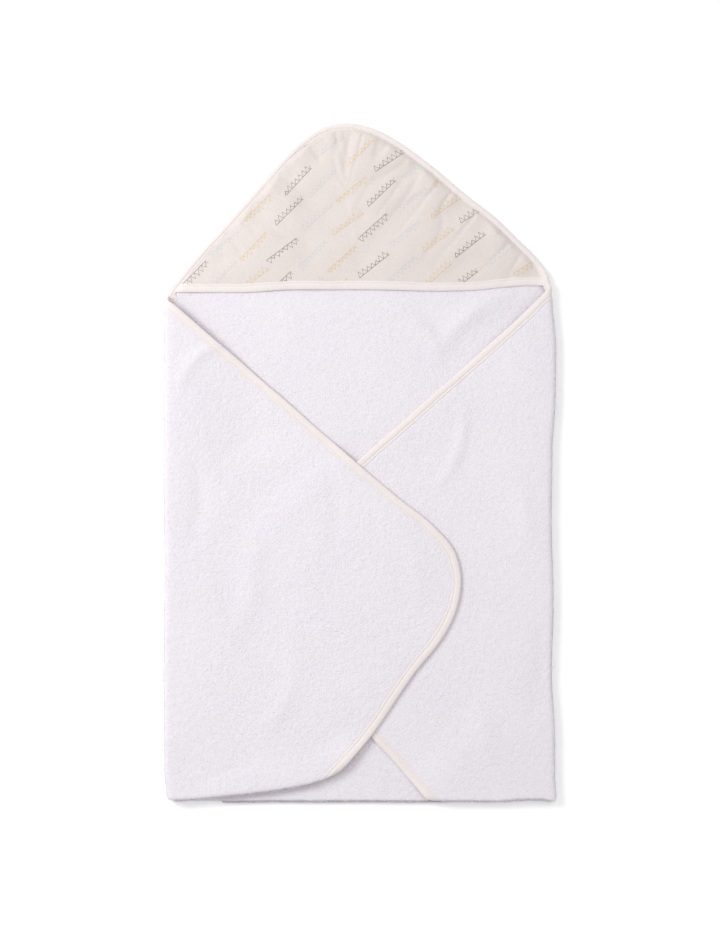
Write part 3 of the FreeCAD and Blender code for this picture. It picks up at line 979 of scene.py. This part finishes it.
def build_flaps():
    left, right = (left_crease, FOLD_REACH), (right_crease, FOLD_REACH)
    build_panel(
        "left_side", flap_outline(left_edge, left_crease, left_seam), left_edge, lay_left, left,
        ["left_flap", "left_fold"], above(*left, TUCK), (1.55 * MM, 2.9 * MM), 11,
        rolling(LEFT_FOLD, 1, LEFT_MIDDLE + CLOTH / 2),
        fold_loops(LEFT_FOLD, 1, LEFT_ROLL, left_crease, 0.166, -0.040, 12),
    )
    build_panel(
        "right_side", flap_outline(right_edge, right_crease, right_seam), right_edge, lay_right, right,
        ["right_flap", "right_fold"], above(*right, TUCK), (1.75 * MM, 2.9 * MM), 23,
        rolling(RIGHT_FOLD, -1, RIGHT_MIDDLE + CLOTH / 2),
        fold_loops(RIGHT_FOLD, -1, RIGHT_ROLL, right_crease, 0.180, 0.085, 24),
    )


def build_corners():
    """The sides' turned-up corners, each bent where it leaves its flap.

    The left one's bend is given as an upright line in the middle of its fold, because its crease is
    slanted, and the right one's as a line at its straight crease; settle only checks that a bend is given.
    """
    left, right = (left_crease, FOLD_REACH), (right_crease, FOLD_REACH)
    upper, lower = LEFT_CENTRE, LEFT_CENTRE - 1.0 * MM
    build_panel(
        "left_corner", turnup_outline(left_turnup_edge, left_crease, LEFT_FOLD), left_turnup_edge,
        lay_left_turnup, left, ["left_turnup", "left_flap_fold"],
        lambda p: above(*left, TUCK)(p) & (p[:, 0] > LEFT_FOLD),
        (2.6 * MM, 2.6 * MM), 31, ("left_side", Vector((0, 0, upper)), Vector((0, 0, lower))),
    )
    inner = RIGHT_CREASE - 1 * MM
    build_panel(
        "right_corner", turnup_outline(right_turnup_edge, right_crease, RIGHT_FOLD), right_turnup_edge,
        lay_right_turnup, right, ["right_turnup", "right_flap_fold"],
        lambda p: above(*right, TUCK)(p) & (p[:, 0] < RIGHT_FOLD),
        (2.6 * MM, 2.6 * MM), 37, ("right_side", Vector((0, inner - 6 * MM, 0)), Vector((0, inner, 0))),
    )


def build_bottom():
    inner = BACK_CREASE + 1 * MM
    build_panel(
        "bottom_corner", panel_outline(bottom_edge.moved(HIDDEN)), bottom_edge, lay_bottom,
        (back_crease, BACK_REACH), ["bottom_flap"],
        between_folds, (2.3 * MM, 2.6 * MM), 41,
        ("back", Vector((0, inner - 4 * MM, 0)), Vector((0, inner, 0))),
        (crease_loops(back_crease, BACK_REACH, -0.150, 0.095, 42),),
    )


RIM_MIDDLE = 1.85 * MM
MUSLIN = 0.5 * MM


def rim_lift(x):
    """The hood's rim climbs round the right fold at its end."""
    return 4.5 * MM * smooth((x - RIGHT_FOLD + 14 * MM) / (16 * MM))


def lay_rim(x, y):
    return np.column_stack([x, y, RIM_MIDDLE + rim_lift(x)])


def lay_hood(lift):
    """The hood's cloth: pressed down in its seam, a little full inside it."""
    def place(x, y):
        found = [rim.tree.find((px, py, 0)) for px, py in zip(x, y)]
        s = rim.s[np.array([hit[1] for hit in found])]
        inset = rim.inset(x, y)
        past_seam = np.clip(inset - SEAM * RIM_TAPE, 0, None)

        def radiating(length, seed):
            """Bumps as long as given round the rim, four times as long inwards."""
            return bumps(s, inset / 4, length, seed)

        full = 2.2 * MM * smooth(past_seam / (5 * MM)) + 4.2 * MM * (1 - np.exp(-past_seam / (32 * MM)))
        puckers = 1.7 * MM * radiating(9 * MM, 61) * np.exp(-past_seam / (14 * MM))
        folds = 4.2 * MM * radiating(23 * MM, 62) * np.exp(-past_seam / (50 * MM))
        slack = 1.5 * MM * bumps(x, y, 44 * MM, 63) + 0.9 * MM * bumps(x, y, 19 * MM, 64)
        sharp = np.exp(-(radiating(17 * MM, 66) / 0.2) ** 2)
        crease = 1.9 * MM * sharp * np.exp(-past_seam / (45 * MM))
        ruffle = smooth(past_seam / (7 * MM))
        to_mouth = np.clip(y - mouth(x), 0, None)
        pressed = 1 - 0.72 * np.exp(-to_mouth / (26 * MM))
        height = RIM_MIDDLE + 0.9 * MM + (full + (puckers + folds + slack - crease) * ruffle) * pressed
        height = np.maximum(height, RIM_MIDDLE + (0.9 + 0.9 * ruffle) * MM) + lift
        return np.column_stack([x, y, height + rim_lift(x)])
    return place


def build_back():
    outline = panel_outline(rim.moved(HIDDEN))
    rows = bend_rows(back_crease, BACK_REACH, outline)
    half, relief = plump(rim, RIM_TAPE), pile(rim, RIM_TAPE, 0.0)
    back = cloth("back_terry", outline, lay_back, half, relief, (2.2 * MM, 4.0 * MM), 51, rows)
    settle(back, TERRY, ["back_panel", "bottom_fold"], "back")
    tape = strip("rim_tape", rim, lay_rim, tape_section(RIM_MIDDLE, RIM_TAPE), whole, 53)
    seam = stitches("rim_seam", rim, lay_rim, SEAM * RIM_TAPE, STITCH_HEIGHT * RIM_MIDDLE, whole)
    settle(tape, BINDING, ["hood_rim_binding"], "back")
    settle(seam, THREAD, ["hood_rim_stitching"], "back")
    x, y, reach = crease_loops(back_crease, BACK_REACH, -0.150, 0.095, 55, 0.75)
    fringe = loops("back_loops", lay_back, x, y - 0.2 * MM, reach, 57, -1)
    settle(fringe, TERRY, [], "back")


def whole(points):
    return np.full(len(points), True)


def build_hood():
    x = np.linspace(LEFT_FOLD, RIGHT_FOLD, 30)
    mouth_edge = Edge(np.column_stack([x, mouth(x)]) / MM, 1)
    line = rim.moved(HIDDEN)
    line = line[between_folds(line) & (line[:, 1] > mouth(line[:, 0]) + 2 * HIDDEN)]
    front = mouth_edge.moved(HIDDEN)
    front = front[(front[:, 0] > line[0, 0]) & (front[:, 0] < line[-1, 0])][::-1]
    outline = np.vstack([line, front])
    even = lambda x, y: np.full_like(x, MUSLIN / 2)
    flat = lambda x, y, seed, up: np.zeros_like(x)
    hood = cloth("hood_cloth", outline, lay_hood(0.0), even, flat, (2.0 * MM, 2.4 * MM), 71)
    lining = cloth("hood_lining_cloth", outline, lay_hood(-0.62 * MM), even, flat, (3.5 * MM, 3.5 * MM), 73)
    inside_rim = lambda p: rim.inset(p[:, 0], p[:, 1]) > 3 * MM
    band = 0.95 * TAPE
    section = [(inset, height * 0.62, loose * 0.7) for inset, height, loose in tape_section(CROWN, band)]
    lay = lay_hood(-0.3 * MM)
    tape = strip("hood_front_tape", mouth_edge, lay, section, inside_rim, 75)
    seam = stitches("hood_front_seam", mouth_edge, lay, SEAM * band, 0.72 * MM, inside_rim)
    settle(hood, PRINT, ["hood_panel"], "back")
    settle(lining, PLAIN, ["hood_lining"], "back")
    settle(tape, BINDING, ["hood_edge_binding"], "back")
    settle(seam, THREAD, ["hood_edge_stitching"], "back")


# ------------------------------------------------------- floor, light, camera

def aim(lamp, toward):
    lamp.rotation_mode = "QUATERNION"
    lamp.rotation_quaternion = toward.to_track_quat("Z", "Y")
    bpy.context.scene.collection.objects.link(lamp)


def build_studio():
    """A white table under a wide window on the left, in an even white room."""
    scene = bpy.context.scene
    scene.view_settings.view_transform = "Standard"

    half = 9.0              # metres, so that no view sees the table's edge
    corners = [(-half, -half, 0), (half, -half, 0), (half, half, 0), (-half, half, 0)]
    floor = new_object("floor", corners, [(0, 1, 2, 3)])
    floor.location.z = -0.3 * MM
    paper = Nodes("floor_white", Roughness=0.9, Emission_Strength=0.12)
    paper.shader.inputs["Base Color"].default_value = (0.95, 0.95, 0.95, 1)
    paper.shader.inputs["Emission Color"].default_value = (1, 1, 1, 1)
    floor.data.materials.append(paper.material)

    world = bpy.data.worlds.new("studio")
    scene.world = world
    world.use_nodes = True
    world.node_tree.nodes["Background"].inputs[0].default_value = (1, 1, 1, 1)
    world.node_tree.nodes["Background"].inputs[1].default_value = 0.67

    window = bpy.data.lights.new("window", "AREA")
    window.shape = "SQUARE"
    window.size = 0.9
    window.energy = 20
    key = bpy.data.objects.new("window", window)
    key.location = (-1.3, 0.55, 1.35)
    key.visible_camera = False
    aim(key, key.location)

    sky = bpy.data.lights.new("fill", "SUN")
    sky.energy = 0.4
    sky.angle = math.radians(40)
    azimuth, height = math.radians(60), math.radians(60)
    fill = bpy.data.objects.new("fill", sky)
    level = math.cos(height)
    aim(fill, Vector((math.cos(azimuth) * level, math.sin(azimuth) * level, math.sin(height))))


def build_camera():
    camera = bpy.data.cameras.new("camera")
    camera.lens = 200
    frame_height = 1.0054   # metres of table from the picture's top to its bottom
    camera.clip_end = 50
    eye = bpy.data.objects.new("camera", camera)
    eye.location = (0, 0, frame_height * camera.lens / camera.sensor_width)
    bpy.context.scene.collection.objects.link(eye)
    bpy.context.scene.camera = eye


build_camera()
build_studio()
build_back()
build_bottom()
build_flaps()
build_corners()
build_hood()
